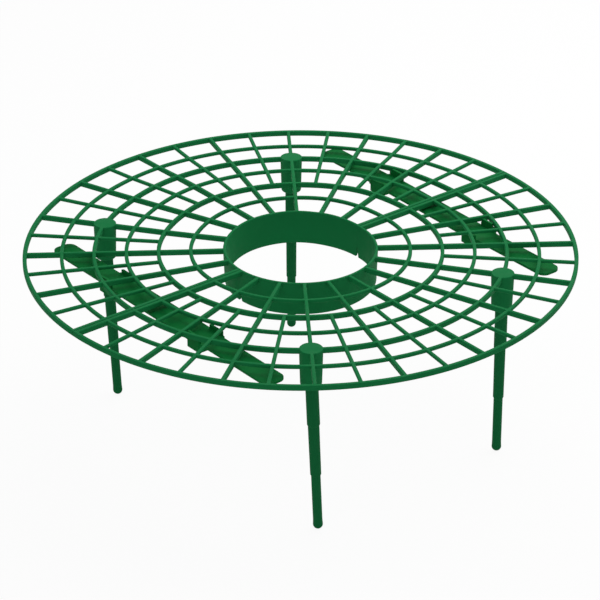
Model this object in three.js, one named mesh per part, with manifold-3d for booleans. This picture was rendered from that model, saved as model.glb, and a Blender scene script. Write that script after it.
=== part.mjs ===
// Strawberry plant support: a round ribbed grid on four stakes, which holds leaves and fruit off the soil.
// The grid is moulded as two equal halves that close round the plant's crown. Two connector bars clip under
// the grid across the split and hold the halves together, and a stake is pushed into each of four sockets.
// Lengths are in millimetres and +Z is up. The split runs along X, and the origin is on the ground under the
// grid's centre.

import * as THREE from 'three';
import { mergeVertices } from 'three/addons/utils/BufferGeometryUtils.js';
import Module from 'manifold-3d';

// Overall height, from the stakes' tips to the grid's flat top
const supportHeight = 110;

// Plan of the grid
const discRadius = 150;
const rimWidth = 2;
const outerRowExtra = 1.6;
const ringCount = 5;
const cellsPerHalf = 10;
const halfSpokeStartIndex = 2;

// Ribs: the deep ones carry the load, the shallow ones divide the cells
const ribWidth = 1.8;
const borderRibWidth = 2.05;
const deepRib = 2.6;
const shallowRing = 1.6;
const shallowSpoke = 1.2;
const deepRingIndices = [2, 4];

// Collar round the plant's crown
const collarRadius = 42;
const collarFootRadius = 41.3;
const collarWall = 1.6;
const collarDepth = 19;

// Split between the halves: a narrow seam that opens downward between the collar's ends
const seamGap = 0.3;
const seamFootGap = 0.8;

// Sockets for the stakes, on deep spokes where they cross a deep ring
const socketSpokeIndex = 3;
const socketRingIndex = 4;
const socketRadius = 6.25;
const socketFootRadius = 5.65;
const socketDepth = 21;
const socketCap = 3;
const socketFootRound = 1;
const socketTopRound = 0.3;
const socketMouthChamfer = 0.4;

// Stakes, stepped twice towards the tip. They sit loosely in their sockets, and the two on the left lean in.
const stakeRadius = 3.42;
const stakeClearance = 0.65;
const stakeSeatGap = 0.3;
const leftStakeLeanDegrees = 2.9;
const stakeTopChamfer = 0.6;
const stakeUpperShow = 45.6;
const stakeMiddleShow = 76.4;
const stakeMiddleRadius = 3.02;
const stakeMiddleFootRadius = 2.9;
const stakeLowerRadius = 2.5;
const stakeTipRadius = 2.65;
const stakeTipBulb = 5;
const stakeTipFlatRadius = 1.2;
const stakeStepHeight = 0.4;

// Connector bars: a plate with side walls along its middle, and a hollow block under each end of the walls
const barRingIndex = 3;
const barSeatGap = 0.3;
const barTongueHalfLength = 95;
const barTongueWidth = 13.3;
const barTongueRound = 4.6;
const barPlateThickness = 1.4;
const barWall = 1.4;
const barWallRise = 2.5;
const barCornerRound = 1.2;
const barTrayWidth = 15.6;
const barTrayOverhang = 1.5;
const barBlockWidth = 16.3;
const barBlockSpokeGap = 2.9;
const barBlockLength = 11;
const barBlockDepth = 7.4;

// Clips on the bars: ears of the outer wall astride each half's first deep spoke, which lies in a notch
const clipSpokeIndex = 1;
const clipGap = 0.4;
const clipReach = 4;
const clipTopDrop = 1.2;

// How far a cutting body runs past the face that it cuts
const overrun = 1;

// Facets
const halfTurnFacets = 40;
const socketFacets = 24;
const stakeFacets = 20;
const roundFacets = 3;

// Worked out from the sizes above
const rimInnerRadius = discRadius - rimWidth;
const ringPitch = (rimInnerRadius - outerRowExtra - collarRadius) / (ringCount + 1);
const spokeStep = Math.PI / cellsPerHalf;
const socketPlaceRadius = ringRadius(socketRingIndex);
const bore = stakeRadius + stakeClearance;
const stakeTop = -(socketCap + stakeSeatGap);
const barOffset = ringRadius(barRingIndex);
const barWallTop = -(deepRib + barSeatGap);
const barPlateTop = barWallTop - barWallRise;
const barPlateBottom = barPlateTop - barPlateThickness;
const clipAngle = clipSpokeIndex * spokeStep;

// Centre line of a ring, counted outward from the collar
function ringRadius(ring) {
  return collarRadius + ring * ringPitch;
}

const wasm = await Module();
wasm.setup();

// A closed geometry as a solid that can be joined and cut
function toSolid(geometry) {
  const bare = geometry.clone();
  bare.deleteAttribute('normal');
  bare.deleteAttribute('uv');
  const welded = mergeVertices(bare);
  const corners = welded.index.array;
  const kept = [];
  for (let i = 0; i < corners.length; i += 3) {
    const [a, b, c] = [corners[i], corners[i + 1], corners[i + 2]];
    if (a !== b && b !== c && c !== a) kept.push(a, b, c);
  }
  const vertProperties = Float32Array.from(welded.attributes.position.array);
  return new wasm.Manifold(new wasm.Mesh({ numProp: 3, vertProperties, triVerts: Uint32Array.from(kept) }));
}

// A solid as a geometry with flat faces
function toGeometry(solid) {
  const { vertProperties, triVerts } = solid.getMesh();
  const geometry = new THREE.BufferGeometry();
  geometry.setAttribute('position', new THREE.BufferAttribute(vertProperties, 3));
  geometry.setIndex(new THREE.BufferAttribute(triVerts, 1));
  const flat = geometry.toNonIndexed();
  flat.computeVertexNormals();
  return flat;
}

function join(solids) {
  return solids.reduce((sum, solid) => sum.add(solid));
}

// Points of an arc in a profile or an outline, from one angle to another
function arc(centreX, centreY, radius, from, to, steps) {
  return Array.from({ length: steps + 1 }, (_, i) => {
    const angle = from + (to - from) * i / steps;
    return new THREE.Vector2(centreX + radius * Math.cos(angle), centreY + radius * Math.sin(angle));
  });
}

// Solid of revolution about Z from a profile of radius and height, drawn anticlockwise
function revolve(profile, facets) {
  return new THREE.LatheGeometry(profile, facets).rotateX(Math.PI / 2);
}

// A plan outline raised from one height to another
function raise(outline, bottom, top) {
  const settings = { depth: top - bottom, bevelEnabled: false };
  return new THREE.ExtrudeGeometry(new THREE.Shape(outline), settings).translate(0, 0, bottom);
}

// A block between two corners
function block(lowX, highX, lowY, highY, bottom, top) {
  const box = new THREE.BoxGeometry(highX - lowX, highY - lowY, top - bottom);
  return box.translate((lowX + highX) / 2, (lowY + highY) / 2, (bottom + top) / 2);
}

// A rectangle centred on the Y axis, from one Y to another, with round corners
function roundedPlan(width, lowY, highY, radius) {
  const halfWidth = width / 2;
  const quarter = Math.PI / 2;
  const corners = [
    [halfWidth - radius, lowY + radius, -quarter],
    [halfWidth - radius, highY - radius, 0],
    [radius - halfWidth, highY - radius, quarter],
    [radius - halfWidth, lowY + radius, 2 * quarter],
  ];
  return corners.flatMap(([x, y, angle]) => arc(x, y, radius, angle, angle + quarter, roundFacets));
}

// Half a ring of the grid, its top flush with the others
function halfRing(innerRadius, outerRadius, depth) {
  const outer = arc(0, 0, outerRadius, 0, Math.PI, halfTurnFacets);
  const inner = arc(0, 0, innerRadius, Math.PI, 0, halfTurnFacets);
  return toSolid(raise([...outer, ...inner], -depth, 0));
}

// A straight rib along a radius
function spoke(angle, startRadius, endRadius, depth) {
  const rib = block(startRadius, endRadius, -ribWidth / 2, ribWidth / 2, -depth, 0);
  return toSolid(rib.rotateZ(angle));
}

// Rings, rim and spokes of the half on the +Y side
function gridRibs() {
  const ribs = [halfRing(rimInnerRadius, discRadius, deepRib)];
  for (let ring = 1; ring <= ringCount; ring += 1) {
    const radius = ringRadius(ring);
    const depth = deepRingIndices.includes(ring) ? deepRib : shallowRing;
    ribs.push(halfRing(radius - ribWidth / 2, radius + ribWidth / 2, depth));
  }
  const rimCentre = rimInnerRadius + rimWidth / 2;
  const collarCentre = collarRadius - collarWall / 2;
  for (let cell = 0; cell < cellsPerHalf; cell += 1) {
    if (cell > 0) ribs.push(spoke(cell * spokeStep, collarCentre, rimCentre, deepRib));
    ribs.push(spoke((cell + 1 / 2) * spokeStep, ringRadius(halfSpokeStartIndex), rimCentre, shallowSpoke));
  }
  for (const side of [-1, 1]) {
    const border = block(collarCentre, rimCentre, 0, borderRibWidth, -deepRib, 0);
    ribs.push(toSolid(border.translate(side < 0 ? -collarCentre - rimCentre : 0, 0, 0)));
  }
  return join(ribs);
}

// Collar wall, drafted inward towards its foot
function collar() {
  const profile = [
    new THREE.Vector2(collarFootRadius - collarWall, -collarDepth),
    new THREE.Vector2(collarFootRadius, -collarDepth),
    new THREE.Vector2(collarRadius, 0),
    new THREE.Vector2(collarRadius - collarWall, 0),
    new THREE.Vector2(collarFootRadius - collarWall, -collarDepth),
  ];
  return toSolid(revolve(profile, 2 * halfTurnFacets));
}

// Where a half's two sockets are, on the +Y side
function socketPlaces() {
  return [cellsPerHalf - socketSpokeIndex, socketSpokeIndex].map((spokeIndex) => {
    const angle = spokeIndex * spokeStep;
    return new THREE.Vector2(socketPlaceRadius * Math.cos(angle), socketPlaceRadius * Math.sin(angle));
  });
}

// Outside of a socket: closed flat top, drafted wall and a rounded foot
function socketBody() {
  const footCentre = socketFootRadius - socketFootRound;
  const topCentre = socketRadius - socketTopRound;
  const profile = [
    new THREE.Vector2(0, -socketDepth),
    ...arc(footCentre, socketFootRound - socketDepth, socketFootRound, -Math.PI / 2, 0, roundFacets),
    ...arc(topCentre, -socketTopRound, socketTopRound, 0, Math.PI / 2, 1),
    new THREE.Vector2(0, 0),
  ];
  return revolve(profile, socketFacets);
}

// Blind bore that takes the stake, with a chamfered mouth
function socketBore() {
  const mouth = bore + socketMouthChamfer;
  const profile = [
    new THREE.Vector2(0, -socketDepth - overrun),
    new THREE.Vector2(mouth + overrun, -socketDepth - overrun),
    new THREE.Vector2(bore, socketMouthChamfer - socketDepth),
    new THREE.Vector2(bore, -socketCap),
    new THREE.Vector2(0, -socketCap),
  ];
  return revolve(profile, stakeFacets);
}

// Everything on the far side of the split, with the wedge that opens the seam between the collar's ends
function seamCut() {
  const reach = discRadius + overrun;
  const flat = block(-reach, reach, -reach, seamGap / 2, -socketDepth - overrun, overrun);
  const wedge = [
    new THREE.Vector2(0, -deepRib),
    new THREE.Vector2(0, -collarDepth - overrun),
    new THREE.Vector2(seamFootGap / 2, -collarDepth - overrun),
    new THREE.Vector2(seamFootGap / 2, -collarDepth),
    new THREE.Vector2(seamGap / 2, -deepRib),
  ];
  const wedgeReach = collarRadius + overrun;
  const prism = raise(wedge, -wedgeReach, wedgeReach);
  return toSolid(flat).add(toSolid(prism.rotateX(Math.PI / 2).rotateZ(Math.PI / 2)));
}

// One moulded half: ribs, half collar and two sockets
function halfFrame() {
  const places = socketPlaces();
  const bodies = places.map((place) => toSolid(socketBody().translate(place.x, place.y, 0)));
  const bores = places.map((place) => toSolid(socketBore().translate(place.x, place.y, 0)));
  return join([gridRibs(), collar(), ...bodies]).subtract(join(bores)).subtract(seamCut());
}

// The bar's plate from tongue tip to tongue tip, with its middle wide enough for the side walls
function barPlate(trayEnd) {
  const tongues = roundedPlan(barTongueWidth, -barTongueHalfLength, barTongueHalfLength, barTongueRound);
  const tray = roundedPlan(barTrayWidth, -trayEnd, trayEnd, barCornerRound);
  return [
    raise(tongues, barPlateBottom, barPlateTop),
    raise(tray, barPlateBottom, barWallTop),
  ];
}

// The room between the bar's side walls
function barTrayHollow(trayEnd) {
  const halfWidth = barTrayWidth / 2 - barWall;
  return block(-halfWidth, halfWidth, -trayEnd - overrun, trayEnd + overrun, barPlateTop, overrun);
}

// A block under the plate and the hollow that opens it from below, on the end that the sign names
function barBlock(start, sign) {
  const bottom = barWallTop - barBlockDepth;
  const [low, high] = sign > 0 ? [start, start + barBlockLength] : [-start - barBlockLength, -start];
  const halfWidth = barBlockWidth / 2 - barWall;
  return {
    outside: raise(roundedPlan(barBlockWidth, low, high, barCornerRound), bottom, barWallTop),
    hollow: block(-halfWidth, halfWidth, low + barWall, high - barWall, bottom - overrun, barPlateBottom),
  };
}

// A raised stretch of the outer wall and the notch through it for the deep spoke, in the bar's own frame
function barClip(sign) {
  const outerFace = barTrayWidth / 2;
  const crossing = sign * (barOffset + outerFace - barWall / 2) * Math.tan(clipAngle);
  const ear = block(
    outerFace - barWall, outerFace, crossing - clipReach, crossing + clipReach, barPlateTop, -clipTopDrop,
  );
  const halfNotch = ribWidth / 2 + clipGap;
  const notch = block(
    barOffset - barTrayWidth, barOffset + 2 * barTrayWidth, -halfNotch, halfNotch, barWallTop, overrun,
  );
  return { outside: ear, hollow: notch.rotateZ(sign * clipAngle).translate(-barOffset, 0, 0) };
}

// One moulded bar, lying along Y with its outer side towards +X
function connectorBar() {
  const blockStart = barOffset * Math.tan(clipAngle) + barBlockSpokeGap;
  const trayEnd = blockStart + barBlockLength + barTrayOverhang;
  const features = [1, -1].flatMap((sign) => [barBlock(blockStart, sign), barClip(sign)]);
  const outsides = [...barPlate(trayEnd), ...features.map((feature) => feature.outside)];
  const hollows = [barTrayHollow(trayEnd), ...features.map((feature) => feature.hollow)];
  return join(outsides.map(toSolid)).subtract(join(hollows.map(toSolid)));
}

// One stake in its own place under the grid: straight top, two steps and a blunt, slightly swollen tip
function stake() {
  const tip = -supportHeight;
  const flatAngle = -Math.acos(stakeTipFlatRadius / stakeTipRadius);
  const tipCentre = tip - stakeTipRadius * Math.sin(flatAngle);
  const profile = [
    new THREE.Vector2(0, tip),
    ...arc(0, tipCentre, stakeTipRadius, flatAngle, 0, roundFacets),
    new THREE.Vector2(stakeLowerRadius, tip + stakeTipBulb),
    new THREE.Vector2(stakeLowerRadius, -stakeMiddleShow - stakeStepHeight),
    new THREE.Vector2(stakeMiddleFootRadius, -stakeMiddleShow),
    new THREE.Vector2(stakeMiddleRadius, -stakeUpperShow - stakeStepHeight),
    new THREE.Vector2(stakeRadius, -stakeUpperShow),
    new THREE.Vector2(stakeRadius, stakeTop - stakeTopChamfer),
    new THREE.Vector2(stakeRadius - stakeTopChamfer, stakeTop),
    new THREE.Vector2(0, stakeTop),
  ];
  return revolve(profile, stakeFacets);
}

// Moulded polypropylene green, one material for each piece
function greenPlastic(name) {
  return new THREE.MeshStandardMaterial({ name, color: 0x237d46, roughness: 0.5, metalness: 0 });
}

function piece(name, geometry) {
  const mesh = new THREE.Mesh(geometry, greenPlastic(name));
  mesh.name = name;
  return mesh;
}

const support = new THREE.Group();
support.position.z = supportHeight;

const halfGeometry = toGeometry(halfFrame());
const barGeometry = toGeometry(connectorBar());
const halves = [
  { name: 'rear', turn: 0 },
  { name: 'front', turn: Math.PI },
];
for (const { name, turn } of halves) {
  const frame = piece(`${name}_half_frame`, halfGeometry);
  frame.rotation.z = turn;
  support.add(frame);
}

const bars = [
  { name: 'right', turn: 0 },
  { name: 'left', turn: Math.PI },
];
for (const { name, turn } of bars) {
  const bar = piece(`${name}_connector_bar`, barGeometry.clone().translate(barOffset, 0, 0));
  bar.rotation.z = turn;
  support.add(bar);
}

// A stake leans about the middle of its bore
const stakePivot = (stakeTop - socketDepth) / 2;
for (const place of socketPlaces()) {
  const side = place.x < 0 ? 'left' : 'right';
  for (const [row, sign] of [['rear', 1], ['front', -1]]) {
    const leg = piece(`${row}_${side}_leg`, stake().translate(0, 0, -stakePivot));
    leg.position.set(place.x, sign * place.y, stakePivot);
    leg.rotation.y = side === 'left' ? -THREE.MathUtils.degToRad(leftStakeLeanDegrees) : 0;
    support.add(leg);
  }
}

export default support;
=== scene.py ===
"""Strawberry plant support: a ribbed green grid in two halves, with two clip-on bars and four stakes.

Lengths are in metres and +Z is up. The split between the halves runs along X, and the origin is on the
ground under the grid's centre.
"""

import math
from contextlib import contextmanager

import bmesh
import bpy
from bpy.props import FloatProperty, FloatVectorProperty, IntProperty, PointerProperty
from mathutils import Euler, Matrix, Vector


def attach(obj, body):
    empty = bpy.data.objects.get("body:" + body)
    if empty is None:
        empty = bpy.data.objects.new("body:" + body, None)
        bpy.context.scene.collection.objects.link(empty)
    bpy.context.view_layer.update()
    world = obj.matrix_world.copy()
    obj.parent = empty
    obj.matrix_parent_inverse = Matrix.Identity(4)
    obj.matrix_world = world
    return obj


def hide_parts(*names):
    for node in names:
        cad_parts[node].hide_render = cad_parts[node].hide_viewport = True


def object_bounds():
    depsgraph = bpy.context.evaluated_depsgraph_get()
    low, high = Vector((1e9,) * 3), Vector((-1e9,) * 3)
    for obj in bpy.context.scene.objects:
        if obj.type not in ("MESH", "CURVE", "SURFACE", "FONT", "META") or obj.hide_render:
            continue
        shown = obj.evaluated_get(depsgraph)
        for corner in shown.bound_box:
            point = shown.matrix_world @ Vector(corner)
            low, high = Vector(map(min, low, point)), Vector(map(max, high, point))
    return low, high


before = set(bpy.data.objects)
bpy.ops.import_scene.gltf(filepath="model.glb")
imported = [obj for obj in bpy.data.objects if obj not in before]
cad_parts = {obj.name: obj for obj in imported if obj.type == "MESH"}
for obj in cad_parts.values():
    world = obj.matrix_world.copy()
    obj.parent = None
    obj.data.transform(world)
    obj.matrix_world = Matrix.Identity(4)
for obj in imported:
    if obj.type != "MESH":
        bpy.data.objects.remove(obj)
cad_low, cad_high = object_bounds()

bl_info = {
    "name": "Strawberry Plant Support",
    "version": (1, 0, 0),
    "blender": (4, 5, 0),
    "location": "View3D > Sidebar > Plant Support",
    "description": "Models a two-piece ribbed plant support with clip-on bars and push-in stakes",
    "category": "Add Mesh",
}

HALF_TURN = math.pi
QUARTER_TURN = math.pi / 2

# Points nearer than this to a level, in metres, count as lying on it
LEVEL = 1e-5
# Share of an edge's length that has to lie along an axis for the edge to run along it
STRAIGHT = 0.999
# Faces that meet at more than this form a corner, which stays sharp or is rounded
CORNER_DEGREES = 40


def linear(hex_colour):
    """An sRGB hex colour as linear RGBA."""
    shares = [int(hex_colour[digit : digit + 2], 16) / 255 for digit in (1, 3, 5)]
    light = [share / 12.92 if share <= 0.04045 else ((share + 0.055) / 1.055) ** 2.4 for share in shares]
    return light + [1.0]


def length(label, description, default):
    """A length that the panel shows."""
    return FloatProperty(
        name=label,
        description=description,
        default=default,
        min=0.0,
        unit="LENGTH",
        subtype="DISTANCE",
        precision=5,
    )


def colour(label, description, hex_colour):
    """A colour that the panel shows."""
    return FloatVectorProperty(
        name=label,
        description=description,
        default=linear(hex_colour),
        size=4,
        min=0.0,
        max=1.0,
        subtype="COLOR",
    )


class GridSettings(bpy.types.PropertyGroup):
    """Sizes of the two ribbed half frames"""

    disc_radius: length("Disc radius", "Outside radius of the rim", cad_high.y)
    top_height: length("Top height", "Height of the grid's flat top", cad_high.z)
    rim_width: length("Rim width", "Width of the outer rim", 0.0022)
    rib_width: length("Rib width", "Width of rings and spokes", 0.002)
    border_width: length("Border rib width", "Width of the ribs beside the split", 0.0021)
    deep_rib: length("Deep rib", "Depth of rim, deep rings and whole spokes", 0.003)
    shallow_ring: length("Shallow ring", "Depth of the rings between", 0.002)
    shallow_spoke: length("Shallow spoke", "Depth of the half spokes", 0.0018)
    first_ring: length("First ring", "Radius of the ring next to the collar", 0.0594)
    ring_pitch: length("Ring pitch", "Distance from ring to ring", 0.0174)
    rounding: length("Rib rounding", "Radius along the ribs' edges", 0.00055)
    collar_radius: length("Collar radius", "Outside radius of the collar at its top", 0.042)
    collar_draft: length("Collar draft", "How far the collar's foot is drawn in", 0.0007)
    collar_wall: length("Collar wall", "Wall of the collar", 0.0016)
    collar_depth: length("Collar depth", "Depth of the collar", 0.019)
    seam_gap: length("Seam gap", "Gap between the halves at the top", 0.0003)
    collar_gap: length("Collar gap", "Gap between the collar's ends where they meet", 0.00006)
    seam_foot_gap: length("Seam foot gap", "Gap between the collar's ends at their foot", 0.0029)
    seam_wedge: length("Seam wedge", "Height above the foot where the collar's seam starts to open", 0.0065)
    crown_lift: length("Crown lift", "How far the rear half has sprung up behind the collar", 0.0015)
    crown_start: length("Crown start", "From the split to where the rear half is fully lifted", 0.0378)
    crown_radius: length("Crown radius", "Radius within which the rear half is fully lifted", 0.1)
    crown_reach: length("Crown reach", "Distance over which the lift dies away", 0.045)


class SocketSettings(bpy.types.PropertyGroup):
    """Sizes of the stake sockets under the grid"""

    radius: length("Socket radius", "Outside radius at the top", 0.00625)
    foot_radius: length("Foot radius", "Outside radius at the foot, before it is rounded", 0.00565)
    depth: length("Socket depth", "From the grid's top to the socket's foot", 0.021)
    foot_round: length("Foot rounding", "Radius round the foot", 0.001)
    cap: length("Cap", "Thickness of the closed top", 0.003)
    bore: length("Bore radius", "Radius of the blind bore", 0.00407)
    mouth: length("Mouth chamfer", "Chamfer at the bore's mouth", 0.0004)


class BarSettings(bpy.types.PropertyGroup):
    """Sizes of the two connector bars"""

    offset: length("Bar offset", "From the grid's centre to a bar's centre line", 0.0942)
    half_length: length("Half length", "From the split to a tongue's tip", 0.095)
    tongue_width: length("Tongue width", "Width of the tongues", 0.0133)
    tongue_round: length("Tongue corner", "Corner radius of the tongues", 0.0046)
    plate: length("Plate", "Thickness of the plate", 0.0014)
    wall: length("Wall", "Thickness of the side walls", 0.0014)
    wall_rise: length("Wall rise", "Height of the side walls over the plate", 0.0023)
    middle_width: length("Middle width", "Width of the plate between the blocks", 0.0156)
    middle_half_length: length("Middle half length", "From the split to the wide middle's end", 0.046)
    wall_top_drop: length("Wall top drop", "From the grid's top down to the side walls", 0.0031)
    block_start: length("Block start", "From the split to a block's near side", 0.0335)
    block_length: length("Block length", "Length of a hollow block", 0.011)
    block_width: length("Block width", "Width of a hollow block", 0.0163)
    block_depth: length("Block depth", "Depth of a hollow block under the wall tops", 0.0074)
    corner: length("Corner", "Corner radius of tray and blocks", 0.0012)
    ear_end: length("Ear end", "From the split to an ear's far end, short of the ring", 0.0423)
    ear_drop: length("Ear drop", "From the grid's top down to the ears", 0.0012)
    notch_gap: length("Notch gap", "Play beside a rib in its notch", 0.0004)
    rounding: length("Edge rounding", "Radius along the bar's edges", 0.00015)
    tongue_shift: length("Tongue shift", "How far the tongues' tips lie towards the front", 0.0035)


class StakeSettings(bpy.types.PropertyGroup):
    """Sizes of the four stakes"""

    radius: length("Top radius", "Radius of the upper part", 0.00342)
    middle_radius: length("Middle radius", "Radius below the first step", 0.00302)
    middle_foot_radius: length("Middle foot radius", "Radius above the second step", 0.0029)
    lower_radius: length("Lower radius", "Radius below the second step", 0.0025)
    tip_radius: length("Tip radius", "Radius of the rounded tip", 0.00265)
    tip_flat: length("Tip flat", "Radius of the blunt end", 0.0012)
    top_drop: length("Top drop", "From the grid's top down to a stake's top", 0.0033)
    first_step: length("First step", "From the grid's top down to the first step", 0.0456)
    second_step: length("Second step", "From the grid's top down to the second step", 0.0764)
    bulb: length("Bulb", "Length of the slightly swollen tip", 0.005)
    step: length("Step", "Length of a step's slope", 0.0004)
    chamfer: length("Top chamfer", "Chamfer of the top", 0.0006)
    parting_line: length("Parting line", "How far the mould's parting line stands proud", 0.00012)
    sides: IntProperty(name="Sides", description="Facets round a stake", default=96, min=12, max=256)


class FinishSettings(bpy.types.PropertyGroup):
    """Colours of the plastic and the stage"""

    frame_green: colour("Frame green", "Colour of the half frames", "#157641")
    bar_green: colour("Bar green", "Colour of the connector bars", "#076e32")
    stake_green: colour("Stake green", "Colour of the stakes", "#126839")
    floor: colour("Floor", "Colour of the floor and backdrop", "#ffffff")


def only(piece):
    """Leaves one object selected and active."""
    bpy.ops.object.select_all(action="DESELECT")
    piece.select_set(True)
    bpy.context.view_layer.objects.active = piece


def start(name):
    """Names the piece just added or copied, and moves its place into its mesh."""
    piece = bpy.context.object
    piece.name = name
    bpy.ops.object.transform_apply(location=True, rotation=True, scale=True)
    return piece


def begin_block(name, low, high):
    """A block between two corners, the start of a rib, a plate or a cut."""
    bpy.ops.object.select_all(action="DESELECT")
    centre = (Vector(low) + Vector(high)) / 2
    bpy.ops.mesh.primitive_cube_add(size=1, location=centre)
    bpy.context.object.scale = Vector(high) - Vector(low)
    return start(name)


@contextmanager
def edit_mode(piece):
    """Opens one object in edit mode, all of it selected, for the steps inside."""
    only(piece)
    bpy.ops.object.mode_set(mode="EDIT")
    bpy.ops.mesh.select_all(action="SELECT")
    yield
    bpy.ops.object.mode_set(mode="OBJECT")


def pick(piece, kind, test):
    """Selects the vertices, edges or faces that pass a test, in edit mode."""
    bpy.ops.mesh.select_mode(type=kind)
    bpy.ops.mesh.select_all(action="DESELECT")
    mesh = bmesh.from_edit_mesh(piece.data)
    for part in {"VERT": mesh.verts, "EDGE": mesh.edges, "FACE": mesh.faces}[kind]:
        if test(part):
            part.select_set(True)
    mesh.select_flush_mode()
    bmesh.update_edit_mesh(piece.data)


def along(edge, axis):
    """Whether an edge runs along an axis, given as its index."""
    run = edge.verts[1].co - edge.verts[0].co
    return abs(run[axis]) > STRAIGHT * run.length


def face_outwards():
    """Turns every face of the open mesh outwards, after a spin, a cut or an extrusion."""
    bpy.ops.mesh.select_all(action="SELECT")
    bpy.ops.mesh.normals_make_consistent(inside=False)


def round_edges(piece, axis, radius, segments):
    """Rounds the edges that run along an axis, given as its index."""
    with edit_mode(piece):
        pick(piece, "EDGE", lambda edge: along(edge, axis))
        bpy.ops.mesh.bevel(offset=radius, segments=segments, affect="EDGES", clamp_overlap=False)


def apply_modifier(piece, name, kind, **settings):
    """Adds a modifier with its settings and applies it."""
    only(piece)
    step = piece.modifiers.new(name, kind)
    for setting, value in settings.items():
        setattr(step, setting, value)
    bpy.ops.object.modifier_apply(modifier=step.name)


def copy_turned(piece, angle, name):
    """A copy with its own mesh, turned about the grid's centre."""
    only(piece)
    bpy.ops.object.duplicate(linked=False)
    twin = bpy.context.object
    twin.rotation_euler = Euler((0, 0, angle))
    return start(name)


def join(pieces):
    """Joins bodies that don't touch into one object."""
    only(pieces[0])
    for piece in pieces:
        piece.select_set(True)
    if len(pieces) > 1:
        bpy.ops.object.join()
    return bpy.context.object


def combine(body, other, operation):
    """Joins two closed bodies or cuts the second from the first, and drops the second."""
    apply_modifier(body, "Combine", "BOOLEAN", operation=operation, solver="MANIFOLD", object=other)
    bpy.data.objects.remove(other)
    return body


def smooth(piece):
    """Smooth shading that keeps real corners sharp and flat faces flat."""
    only(piece)
    bpy.ops.object.shade_smooth_by_angle(angle=math.radians(CORNER_DEGREES))
    apply_modifier(piece, "Flat faces", "WEIGHTED_NORMAL", keep_sharp=True)


def finish_piece(piece, material, body, node):
    """Gives a piece its material, its body and its place in the model."""
    piece.data.materials.clear()
    piece.data.materials.append(material)
    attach(piece, body)
    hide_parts(node)


def add_node(tree, kind, inputs=None, **settings):
    """Adds a node with its settings, its input values and its links."""
    node = tree.nodes.new(kind)
    for name, value in settings.items():
        setattr(node, name, value)
    for name, value in (inputs or {}).items():
        if isinstance(value, bpy.types.NodeSocket):
            tree.links.new(value, node.inputs[name])
        else:
            node.inputs[name].default_value = value
    return node


def new_material(name):
    """An empty node material."""
    material = bpy.data.materials.new(name)
    material.use_nodes = True
    material.node_tree.nodes.clear()
    return material


# Sizes in metres of the pigment clouds, the patches of gloss and the grain of the skin
CLOUD_SIZE = 0.025
PATCH_SIZE = 0.00625
# The blasted mould's grain is about 0.1 mm across, and is drawn coarser so that it shows
GRAIN_SIZE = 0.000625
GRAIN_HEIGHT = 0.00004
# Brightness of the darkest and palest cloud against the pigment's own
DARK_CLOUD = 0.93
PALE_CLOUD = 1.07


def moulded_polypropylene(name, green):
    """Injection-moulded polypropylene with green pigment.

    The plastic is evenly coloured all through, with faint pale and dark clouds where the pigment flowed.
    The steel mould was blasted, so its skin is nearly matt: what it reflects is weak, broad and soft.
    """
    material = new_material(name)
    tree = material.node_tree
    place = add_node(tree, "ShaderNodeTexCoord").outputs["Object"]
    clouds = add_node(
        tree,
        "ShaderNodeTexNoise",
        {"Vector": place, "Scale": 1 / CLOUD_SIZE, "Detail": 4.0, "Roughness": 0.6},
    )
    darker = [DARK_CLOUD * share for share in green[:3]] + [1.0]
    lighter = [PALE_CLOUD * share for share in green[:3]] + [1.0]
    tone = add_node(
        tree,
        "ShaderNodeMix",
        {"Factor": clouds.outputs["Fac"], "A": darker, "B": lighter},
        data_type="RGBA",
    )
    # The gloss changes a little from patch to patch, where the skin cooled unevenly
    patches = add_node(
        tree, "ShaderNodeTexNoise", {"Vector": place, "Scale": 1 / PATCH_SIZE, "Detail": 3.0}
    )
    roughness = add_node(
        tree,
        "ShaderNodeMapRange",
        {"Value": patches.outputs["Fac"], "From Min": 0.3, "From Max": 0.7, "To Min": 0.56, "To Max": 0.72},
    )
    grain = add_node(tree, "ShaderNodeTexNoise", {"Vector": place, "Scale": 1 / GRAIN_SIZE, "Detail": 2.0})
    relief = add_node(
        tree,
        "ShaderNodeBump",
        {"Height": grain.outputs["Fac"], "Strength": 0.25, "Distance": GRAIN_HEIGHT},
    )
    shader = add_node(
        tree,
        "ShaderNodeBsdfPrincipled",
        {
            "Base Color": tone.outputs["Result"],
            "Roughness": roughness.outputs["Result"],
            "Normal": relief.outputs["Normal"],
            "IOR": 1.49,
            "Specular IOR Level": 0.05,
        },
    )
    add_node(tree, "ShaderNodeOutputMaterial", {"Surface": shader.outputs["BSDF"]})
    return material


# Counts of the grid: rings are numbered outwards from the collar, and whole spokes from the split
CELLS = 10
RINGS = 5
HALF_SPOKE_RING = 2
DEEP_RINGS = (2, 4)
SOCKET_RING = 4
SOCKET_SPOKE = 3
CLIP_SPOKE = 1
# Angles of the whole spokes from the split
SPOKE_STEP = HALF_TURN / CELLS
SOCKET_ANGLE = SOCKET_SPOKE * SPOKE_STEP
CLIP_ANGLE = CLIP_SPOKE * SPOKE_STEP
# Facets of a half ring and a socket, and steps round a rib's edge, a plain corner and a tongue's corner
RING_STEPS = 120
SOCKET_SIDES = 64
EDGE_STEPS = 3
CORNER_STEPS = 5
TONGUE_STEPS = 10
# How near in metres points of the collar's cut end, and points of a bar, are taken as one
CUT_REACH = 1e-7
MERGE_REACH = 2e-6
# Faces of a bar that meet at less than this are made one flat face
FLAT_DEGREES = 0.5


def ring_radius(grid, ring):
    """Radius of a ring's centre line, by its number."""
    return grid.first_ring + (ring - 1) * grid.ring_pitch


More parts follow.
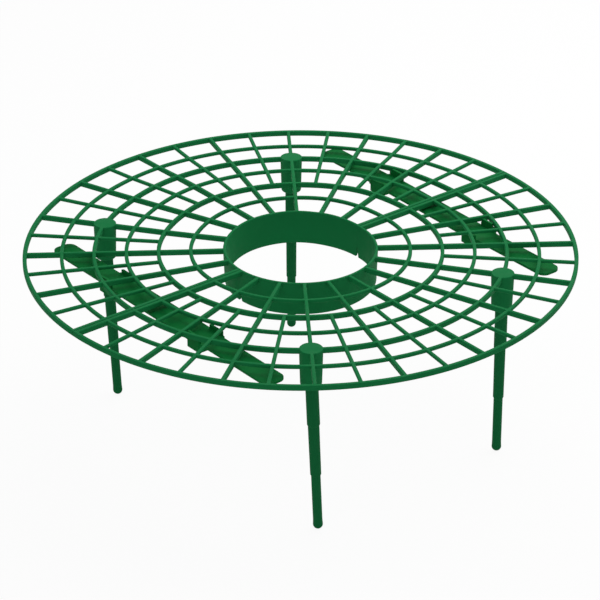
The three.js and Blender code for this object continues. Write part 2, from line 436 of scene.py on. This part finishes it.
def half_ring(name, grid, inner, outer, depth, gap, draft=0.0):
    """Half a ring on the +Y side: a section with rounded corners, spun round the grid's centre."""
    middle = (inner + outer) / 2
    height = grid.top_height - depth / 2
    # Half the gap at the split, as an angle seen from the grid's centre
    stop = math.asin(gap / 2 / inner)
    bpy.ops.object.select_all(action="DESELECT")
    bpy.ops.mesh.primitive_plane_add(size=1, rotation=(QUARTER_TURN, 0, 0), location=(middle, 0, height))
    bpy.context.object.scale = (outer - inner, depth, 1)
    ring = start(name)
    with edit_mode(ring):
        if draft:
            pick(ring, "VERT", lambda point: point.co.z < height)
            bpy.ops.transform.translate(value=(-draft, 0, 0))
            bpy.ops.mesh.select_all(action="SELECT")
        bpy.ops.mesh.bevel(offset=grid.rounding, segments=EDGE_STEPS, affect="VERTICES")
        bpy.ops.mesh.select_all(action="SELECT")
        bpy.ops.transform.rotate(value=-stop, orient_axis="Z", center_override=(0, 0, 0))
        bpy.ops.mesh.spin(
            steps=RING_STEPS, angle=2 * stop - HALF_TURN, center=(0, 0, 0), axis=(0, 0, 1), dupli=False
        )
        face_outwards()
    return ring


def rib(name, grid, low, high, depth):
    """A straight rib along X between two plan corners, its long edges rounded."""
    body = begin_block(name, (*low, grid.top_height - depth), (*high, grid.top_height))
    round_edges(body, 0, grid.rounding, EDGE_STEPS)
    return body


def collar(grid):
    """Half the collar, its ends cut so that the seam opens over its lowest part."""
    outer = grid.collar_radius
    inner = outer - grid.collar_wall
    half = half_ring("collar", grid, inner, outer, grid.collar_depth, grid.collar_gap, grid.collar_draft)
    wedge_top = grid.top_height - grid.collar_depth + grid.seam_wedge
    opening = (grid.seam_foot_gap - grid.collar_gap) / 2
    with edit_mode(half):
        bpy.ops.mesh.bisect(
            plane_co=(0, grid.collar_gap / 2, wedge_top),
            plane_no=(0, -grid.seam_wedge, -opening),
            use_fill=True,
            clear_outer=True,
            threshold=CUT_REACH,
        )
        face_outwards()
    return half


def one_socket(name, grid, socket, x, y):
    """A tapered socket with a rounded foot and a blind bore, under one point of the grid."""
    foot = grid.top_height - socket.depth
    middle = foot + socket.depth / 2
    bpy.ops.object.select_all(action="DESELECT")
    bpy.ops.mesh.primitive_cylinder_add(
        vertices=SOCKET_SIDES, radius=socket.radius, depth=socket.depth, location=(x, y, middle)
    )
    body = start(name)
    with edit_mode(body):
        pick(body, "VERT", lambda point: point.co.z < middle)
        share = socket.foot_radius / socket.radius
        bpy.ops.transform.resize(value=(share, share, 1), center_override=(x, y, foot))
        pick(body, "EDGE", lambda edge: all(point.co.z < foot + LEVEL for point in edge.verts))
        bpy.ops.mesh.bevel(offset=socket.foot_round, segments=CORNER_STEPS, affect="EDGES")
        pick(body, "EDGE", lambda edge: all(point.co.z > grid.top_height - LEVEL for point in edge.verts))
        bpy.ops.mesh.bevel(offset=grid.rounding, segments=EDGE_STEPS, affect="EDGES")
        # The bore starts from the foot's flat face, with a chamfer at its mouth
        pick(body, "FACE", lambda face: face.normal.z < 0 and len(face.verts) == SOCKET_SIDES)
        mouth = socket.bore + socket.mouth
        bpy.ops.mesh.inset(thickness=socket.foot_radius - socket.foot_round - mouth)
        bpy.ops.mesh.extrude_region_move(TRANSFORM_OT_translate={"value": (0, 0, socket.mouth)})
        share = socket.bore / mouth
        bpy.ops.transform.resize(value=(share, share, 1), center_override=(x, y, foot + socket.mouth))
        rise = socket.depth - socket.cap - socket.mouth
        bpy.ops.mesh.extrude_region_move(TRANSFORM_OT_translate={"value": (0, 0, rise)})
    return body


def sockets(grid, socket):
    """The two sockets of the half on the +Y side."""
    radius = ring_radius(grid, SOCKET_RING)
    made = []
    for side, angle in (("right", SOCKET_ANGLE), ("left", HALF_TURN - SOCKET_ANGLE)):
        x, y = radius * math.cos(angle), radius * math.sin(angle)
        made.append(one_socket(f"{side}_socket", grid, socket, x, y))
    return join(made)


def rear_half(grid, socket):
    """The half frame on the +Y side, all in one moulding."""
    rim_inner = grid.disc_radius - grid.rim_width
    rim_centre = grid.disc_radius - grid.rim_width / 2
    half_rib = grid.rib_width / 2
    rim = half_ring("rim", grid, rim_inner, grid.disc_radius, grid.deep_rib, grid.seam_gap)
    rings = [rim, collar(grid)]
    for ring in range(1, RINGS + 1):
        inner = ring_radius(grid, ring) - half_rib
        outer = ring_radius(grid, ring) + half_rib
        depth = grid.deep_rib if ring in DEEP_RINGS else grid.shallow_ring
        rings.append(half_ring(f"ring_{ring}", grid, inner, outer, depth, grid.seam_gap))
    root = grid.collar_radius - grid.collar_wall / 2
    spoke = rib("spoke", grid, (root, -half_rib), (rim_centre, half_rib), grid.deep_rib)
    inner_end = ring_radius(grid, HALF_SPOKE_RING)
    half_spoke = rib("half_spoke", grid, (inner_end, -half_rib), (rim_centre, half_rib), grid.shallow_spoke)
    spokes = []
    for cell in range(CELLS):
        if cell:
            spokes.append(copy_turned(spoke, cell * SPOKE_STEP, f"spoke_{cell}"))
        spokes.append(copy_turned(half_spoke, (cell + 0.5) * SPOKE_STEP, f"half_spoke_{cell}"))
    low = grid.seam_gap / 2
    high = low + grid.border_width
    spokes.append(rib("border_right", grid, (root, low), (rim_centre, high), grid.deep_rib))
    spokes.append(rib("border_left", grid, (-rim_centre, low), (-root, high), grid.deep_rib))
    bpy.data.objects.remove(spoke)
    bpy.data.objects.remove(half_spoke)
    body = combine(join(rings), join(spokes), "UNION")
    return combine(body, sockets(grid, socket), "UNION")


def spring_up(piece, grid, test):
    """Lifts the points that pass a test, and those near them by less, as a thin moulding springs up."""
    with edit_mode(piece):
        pick(piece, "VERT", test)
        bpy.ops.transform.translate(
            value=(0, 0, grid.crown_lift),
            use_proportional_edit=True,
            proportional_edit_falloff="SMOOTH",
            proportional_size=grid.crown_reach,
        )


def on_crown(grid, place):
    """Whether a place lies behind the collar on the right, where the rear half has sprung up."""
    return place.x > 0 and place.y > grid.crown_start and place.xy.length < grid.crown_radius


class PLANTSUPPORT_OT_half_frames(bpy.types.Operator):
    """Model the two ribbed half frames with their collar halves and stake sockets"""

    bl_idname = "plantsupport.half_frames"
    bl_label = "Half frames"

    def execute(self, context):
        scene = context.scene
        grid = scene.support_grid
        material = moulded_polypropylene("moulded_polypropylene_frame", scene.support_finish.frame_green)
        rear = rear_half(grid, scene.support_socket)
        front = copy_turned(rear, HALF_TURN, "front_half_frame_moulded")
        rear.name = "rear_half_frame_moulded"
        spring_up(rear, grid, lambda point: on_crown(grid, point.co))
        for side, piece in (("rear", rear), ("front", front)):
            smooth(piece)
            finish_piece(piece, material, f"{side}_half", f"{side}_half_frame")
        return {"FINISHED"}


def right_bar(grid, bar):
    """The bar on the +X side, lying along Y with its ears on the outer side."""
    wall_top = grid.top_height - bar.wall_top_drop
    plate_top = wall_top - bar.wall_rise
    plate_bottom = plate_top - bar.plate
    block_bottom = wall_top - bar.block_depth
    half_middle = bar.middle_width / 2
    half_block = bar.block_width / 2
    half_room = half_block - bar.wall
    half_notch = grid.rib_width / 2 + bar.notch_gap
    outer = bar.offset + half_block

    def centred(name, half_width, low_y, high_y, bottom, top):
        low = (bar.offset - half_width, low_y, bottom)
        return begin_block(name, low, (bar.offset + half_width, high_y, top))

    body = centred("bar", bar.tongue_width / 2, -bar.half_length, bar.half_length, plate_bottom, plate_top)
    round_edges(body, 2, bar.tongue_round, TONGUE_STEPS)
    reach = bar.middle_half_length
    middle = centred("middle", half_middle, -reach, reach, plate_bottom, plate_top)
    round_edges(middle, 2, bar.corner, CORNER_STEPS)
    combine(body, middle, "UNION")
    cuts = []
    for sign in (-1, 1):
        low, high = sorted((sign * bar.block_start, sign * (bar.block_start + bar.block_length)))
        block = centred("block", half_block, low, high, block_bottom, wall_top)
        round_edges(block, 2, bar.corner, CORNER_STEPS)
        combine(body, block, "UNION")
        # The block is open above the plate from end to end, and hollow from below
        above = (low - bar.wall, high + bar.wall, plate_top, wall_top + bar.wall)
        cuts.append(centred("pocket", half_room, *above))
        below = (low + bar.wall, high - bar.wall, block_bottom - bar.wall, plate_bottom)
        cuts.append(centred("room", half_room, *below))
        # Its outer wall rises as a clip ear, notched to sit astride a spoke
        near, far = sorted((sign * bar.block_start, sign * bar.ear_end))
        ear_low = (outer - bar.wall, near, plate_top - bar.plate / 2)
        ear = begin_block("ear", ear_low, (outer, far, grid.top_height - bar.ear_drop))
        combine(body, ear, "UNION")
        notch_low = (bar.offset - half_block, -half_notch, wall_top)
        notch = begin_block("notch", notch_low, (bar.offset + bar.block_width, half_notch, grid.top_height))
        cuts.append(copy_turned(notch, sign * CLIP_ANGLE, "turned_notch"))
        bpy.data.objects.remove(notch)
    for cut in cuts:
        combine(body, cut, "DIFFERENCE")
    with edit_mode(body):
        bpy.ops.mesh.remove_doubles(threshold=MERGE_REACH)
        bpy.ops.mesh.dissolve_limited(angle_limit=math.radians(FLAT_DEGREES))
    apply_modifier(
        body,
        "Edges",
        "BEVEL",
        width=bar.rounding,
        segments=EDGE_STEPS,
        limit_method="ANGLE",
        angle_limit=math.radians(CORNER_DEGREES),
        use_clamp_overlap=False,
    )
    return body


def shift_tongues(piece, bar):
    """Draws the rear tongue in and the front tongue out, as both bars have them."""
    tongue_start = bar.half_length - 2 * bar.tongue_round
    with edit_mode(piece):
        pick(piece, "VERT", lambda point: abs(point.co.y) > tongue_start)
        bpy.ops.transform.translate(value=(0, -bar.tongue_shift, 0))


class PLANTSUPPORT_OT_connector_bars(bpy.types.Operator):
    """Model the two connector bars that clip under the grid across the split"""

    bl_idname = "plantsupport.connector_bars"
    bl_label = "Connector bars"

    def execute(self, context):
        scene = context.scene
        grid = scene.support_grid
        bar = scene.support_bar
        material = moulded_polypropylene("moulded_polypropylene_bar", scene.support_finish.bar_green)
        right = right_bar(grid, bar)
        left = copy_turned(right, HALF_TURN, "left_connector_bar_moulded")
        right.name = "right_connector_bar_moulded"
        # The sprung rear half takes the rear end of the right bar up with it
        spring_up(right, grid, lambda point: point.co.y > bar.block_start)
        for side, piece in (("right", right), ("left", left)):
            shift_tongues(piece, bar)
            smooth(piece)
            finish_piece(piece, material, f"{side}_bar", f"{side}_connector_bar")
        return {"FINISHED"}


# How far in metres the two corners of a step are eased
STEP_EASE = 0.0001
# How far the middle of the top's chamfer lies inside its edge, as a share of its size; half would be flat
CHAMFER_BULGE = 0.3
# Where the rings of points of the rounded tip lie along its arc
TIP_SHARES = (0, 0.17, 0.34, 0.5, 0.67, 0.84, 1)


def stake_profile(grid, stake):
    """Radii and heights of a stake, from its top down to its blunt tip."""
    top = grid.top_height - stake.top_drop
    bulge = CHAMFER_BULGE * stake.chamfer
    half_step = stake.step / 2
    profile = [
        (stake.radius - stake.chamfer, top),
        (stake.radius - bulge, top - bulge),
        (stake.radius, top - stake.chamfer),
    ]
    steps = (
        (stake.radius, stake.middle_radius, grid.top_height - stake.first_step),
        (stake.middle_foot_radius, stake.lower_radius, grid.top_height - stake.second_step),
    )
    for upper, lower, height in steps:
        profile += [
            (upper, height + half_step),
            (upper - STEP_EASE, height),
            (lower + STEP_EASE, height - stake.step),
            (lower, height - stake.step - half_step),
        ]
    profile.append((stake.lower_radius, stake.bulb))
    flat_angle = math.acos(stake.tip_flat / stake.tip_radius)
    tip_centre = stake.tip_radius * math.sin(flat_angle)
    for share in TIP_SHARES:
        angle = share * flat_angle
        radius = stake.tip_radius * math.cos(angle)
        profile.append((radius, tip_centre - stake.tip_radius * math.sin(angle)))
    return profile


def upright_stake(name, grid, stake):
    """A stake that stands on the ground under the grid's centre, extruded step by step from its top."""
    profile = stake_profile(grid, stake)
    radius, height = profile[0]
    bpy.ops.object.select_all(action="DESELECT")
    bpy.ops.mesh.primitive_circle_add(
        vertices=stake.sides, radius=radius, fill_type="NGON", location=(0, 0, height)
    )
    body = start(name)
    line_top = grid.top_height - stake.top_drop - stake.chamfer / 2
    line_foot = stake.bulb - LEVEL

    def on_parting_line(point):
        return abs(point.co.x) < LEVEL and line_foot < point.co.z < line_top

    with edit_mode(body):
        for next_radius, next_height in profile[1:]:
            drop = (0, 0, next_height - height)
            bpy.ops.mesh.extrude_region_move(TRANSFORM_OT_translate={"value": drop})
            share = next_radius / radius
            bpy.ops.transform.resize(value=(share, share, 1), center_override=(0, 0, next_height))
            radius, height = next_radius, next_height
        # The mould's parting line stands a little proud along both sides
        pick(body, "VERT", on_parting_line)
        proud = 1 + stake.parting_line / stake.radius
        bpy.ops.transform.resize(value=(1, proud, 1), center_override=(0, 0, 0))
        face_outwards()
    return body


# Each stake's chance turn in its socket, in radians, and the lean of its tip towards +X, in degrees
STAKE_POSES = {
    "rear_left": (0.5, 2.9),
    "rear_right": (-0.7, 0.0),
    "front_left": (-0.9, 2.9),
    "front_right": (-0.67, 0.0),
}


class PLANTSUPPORT_OT_stakes(bpy.types.Operator):
    """Model the four stepped stakes in their sockets"""

    bl_idname = "plantsupport.stakes"
    bl_label = "Stakes"

    def execute(self, context):
        scene = context.scene
        grid = scene.support_grid
        stake = scene.support_stake
        material = moulded_polypropylene("moulded_polypropylene_stake", scene.support_finish.stake_green)
        reach_x = ring_radius(grid, SOCKET_RING) * math.cos(SOCKET_ANGLE)
        reach_y = ring_radius(grid, SOCKET_RING) * math.sin(SOCKET_ANGLE)
        # A stake leans about the middle of what its socket holds
        pivot = grid.top_height - (stake.top_drop + scene.support_socket.depth) / 2
        for place, (turn, lean) in STAKE_POSES.items():
            row, side = place.split("_")
            x = -reach_x if side == "left" else reach_x
            y = reach_y if row == "rear" else -reach_y
            piece = upright_stake(f"{place}_stake_moulded", grid, stake)
            lowered = Matrix.Translation((0, 0, -pivot))
            turned = Matrix.Rotation(-math.radians(lean), 4, "Y") @ Matrix.Rotation(turn, 4, "Z")
            piece.matrix_world = Matrix.Translation((x, y, pivot)) @ turned @ lowered
            only(piece)
            bpy.ops.object.transform_apply(location=True, rotation=True, scale=True)
            smooth(piece)
            finish_piece(piece, material, f"{place}_stake", f"{place}_leg")
        return {"FINISHED"}


# The floor lies a hair below the stakes' tips, so that they never show through it
FLOOR_SIZE = 12
FLOOR_DROP = 0.0003
# Share of the light that the floor throws back, and how far it shows plain white instead of lit paper
FLOOR_BOUNCE = 0.85
PLAIN_SHARE = 0.93
# Strength of the even light from all round
AMBIENT = 0.34
# Each lamp's place, its width and depth, and its power in watts, and the point that all of them face
LAMPS = {
    "key_lamp": ((0.45, 0.12, 0.71), (0.9, 0.9), 4.8),
    "fill_lamp": ((-1.6, -1.0, 1.7), (1.6, 1.6), 8.0),
}
LAMP_AIM = Vector((0, 0, 0.1))
# Long lens from the front left, above the grid, with lens and sensor in millimetres
CAMERA_PLACE = (-0.8783, -1.0939, 0.8346)
CAMERA_DEGREES = (61.647, 0.0, -38.749)
CAMERA_LENS = 175.03
CAMERA_SENSOR = 36.0
CAMERA_REACH = 50.0


class PLANTSUPPORT_OT_stage(bpy.types.Operator):
    """Set the pale floor, the soft lamps, the world and the camera"""

    bl_idname = "plantsupport.stage"
    bl_label = "Stage"

    def execute(self, context):
        scene = context.scene
        white = scene.support_finish.floor
        bpy.ops.object.select_all(action="DESELECT")
        bpy.ops.mesh.primitive_plane_add(size=FLOOR_SIZE, location=(0, 0, -FLOOR_DROP))
        floor = start("floor")
        floor.data.materials.append(floor_material(white))
        set_world(scene, white)
        for name, (place, size, power) in LAMPS.items():
            add_lamp(name, place, size, power)
        angles = [math.radians(angle) for angle in CAMERA_DEGREES]
        bpy.ops.object.camera_add(location=CAMERA_PLACE, rotation=angles)
        camera = bpy.context.object
        camera.data.lens = CAMERA_LENS
        camera.data.sensor_width = CAMERA_SENSOR
        camera.data.clip_end = CAMERA_REACH
        scene.camera = camera
        scene.view_settings.view_transform = "Standard"
        return {"FINISHED"}


def background_share(tree):
    """1 for rays that should see the plain background: camera, glossy and transmission rays."""
    path = add_node(tree, "ShaderNodeLightPath")
    share = path.outputs["Is Camera Ray"]
    for ray in ("Is Glossy Ray", "Is Transmission Ray"):
        either = add_node(tree, "ShaderNodeMath", {0: share, 1: path.outputs[ray]}, operation="MAXIMUM")
        share = either.outputs[0]
    return share


def floor_material(white):
    """Matt white paper: it shows white with a faint shadow, and throws soft light up under the grid."""
    material = new_material("matt_white_paper")
    tree = material.node_tree
    lit = add_node(tree, "ShaderNodeBsdfDiffuse", {"Color": white})
    plain = add_node(tree, "ShaderNodeEmission", {"Color": white, "Strength": 1.0})
    shown = add_node(tree, "ShaderNodeMixShader", {0: PLAIN_SHARE, 1: lit.outputs[0], 2: plain.outputs[0]})
    grey = (FLOOR_BOUNCE, FLOOR_BOUNCE, FLOOR_BOUNCE, 1.0)
    bounce = add_node(tree, "ShaderNodeBsdfDiffuse", {"Color": grey})
    mixed = add_node(
        tree, "ShaderNodeMixShader", {0: background_share(tree), 1: bounce.outputs[0], 2: shown.outputs[0]}
    )
    add_node(tree, "ShaderNodeOutputMaterial", {"Surface": mixed.outputs[0]})
    return material


def set_world(scene, white):
    """White where the background shows, and an even soft light elsewhere."""
    world = bpy.data.worlds.new("studio")
    world.use_nodes = True
    tree = world.node_tree
    tree.nodes.clear()
    ambient = add_node(tree, "ShaderNodeBackground", {"Color": white, "Strength": AMBIENT})
    shown = add_node(tree, "ShaderNodeBackground", {"Color": white, "Strength": 1.0})
    mixed = add_node(
        tree, "ShaderNodeMixShader", {0: background_share(tree), 1: ambient.outputs[0], 2: shown.outputs[0]}
    )
    add_node(tree, "ShaderNodeOutputWorld", {"Surface": mixed.outputs[0]})
    scene.world = world


def add_lamp(name, location, size, power):
    """A soft rectangular lamp that faces the grid."""
    bpy.ops.object.light_add(type="AREA", location=location)
    lamp = bpy.context.object
    lamp.name = name
    lamp.data.shape = "RECTANGLE"
    lamp.data.size, lamp.data.size_y = size
    lamp.data.energy = power
    way = LAMP_AIM - Vector(location)
    lamp.rotation_euler = way.to_track_quat("-Z", "Y").to_euler()


SETTINGS = {
    "support_grid": (GridSettings, "Grid"),
    "support_socket": (SocketSettings, "Sockets"),
    "support_bar": (BarSettings, "Connector bars"),
    "support_stake": (StakeSettings, "Stakes"),
    "support_finish": (FinishSettings, "Finish"),
}
OPERATORS = (
    PLANTSUPPORT_OT_half_frames,
    PLANTSUPPORT_OT_connector_bars,
    PLANTSUPPORT_OT_stakes,
    PLANTSUPPORT_OT_stage,
)


class PLANTSUPPORT_PT_panel(bpy.types.Panel):
    """Sizes, colours and pieces of the plant support"""

    bl_idname = "PLANTSUPPORT_PT_panel"
    bl_label = "Plant Support"
    bl_space_type = "VIEW_3D"
    bl_region_type = "UI"
    bl_category = "Plant Support"

    def draw(self, context):
        for name, (group, title) in SETTINGS.items():
            box = self.layout.box()
            box.label(text=title)
            for setting in group.__annotations__:
                box.prop(getattr(context.scene, name), setting)
        for operator in OPERATORS:
            self.layout.operator(operator.bl_idname)


def register():
    """Registers the settings, the operators and the panel."""
    for name, (group, title) in SETTINGS.items():
        bpy.utils.register_class(group)
        setattr(bpy.types.Scene, name, PointerProperty(type=group, name=title))
    for operator in (*OPERATORS, PLANTSUPPORT_PT_panel):
        bpy.utils.register_class(operator)


def unregister():
    """Takes them out again."""
    for operator in (*OPERATORS, PLANTSUPPORT_PT_panel):
        bpy.utils.unregister_class(operator)
    for name, (group, _title) in SETTINGS.items():
        delattr(bpy.types.Scene, name)
        bpy.utils.unregister_class(group)


def main():
    """Builds the whole support."""
    register()
    bpy.ops.plantsupport.half_frames()
    bpy.ops.plantsupport.connector_bars()
    bpy.ops.plantsupport.stakes()
    bpy.ops.plantsupport.stage()


if __name__ == "__main__":
    main()
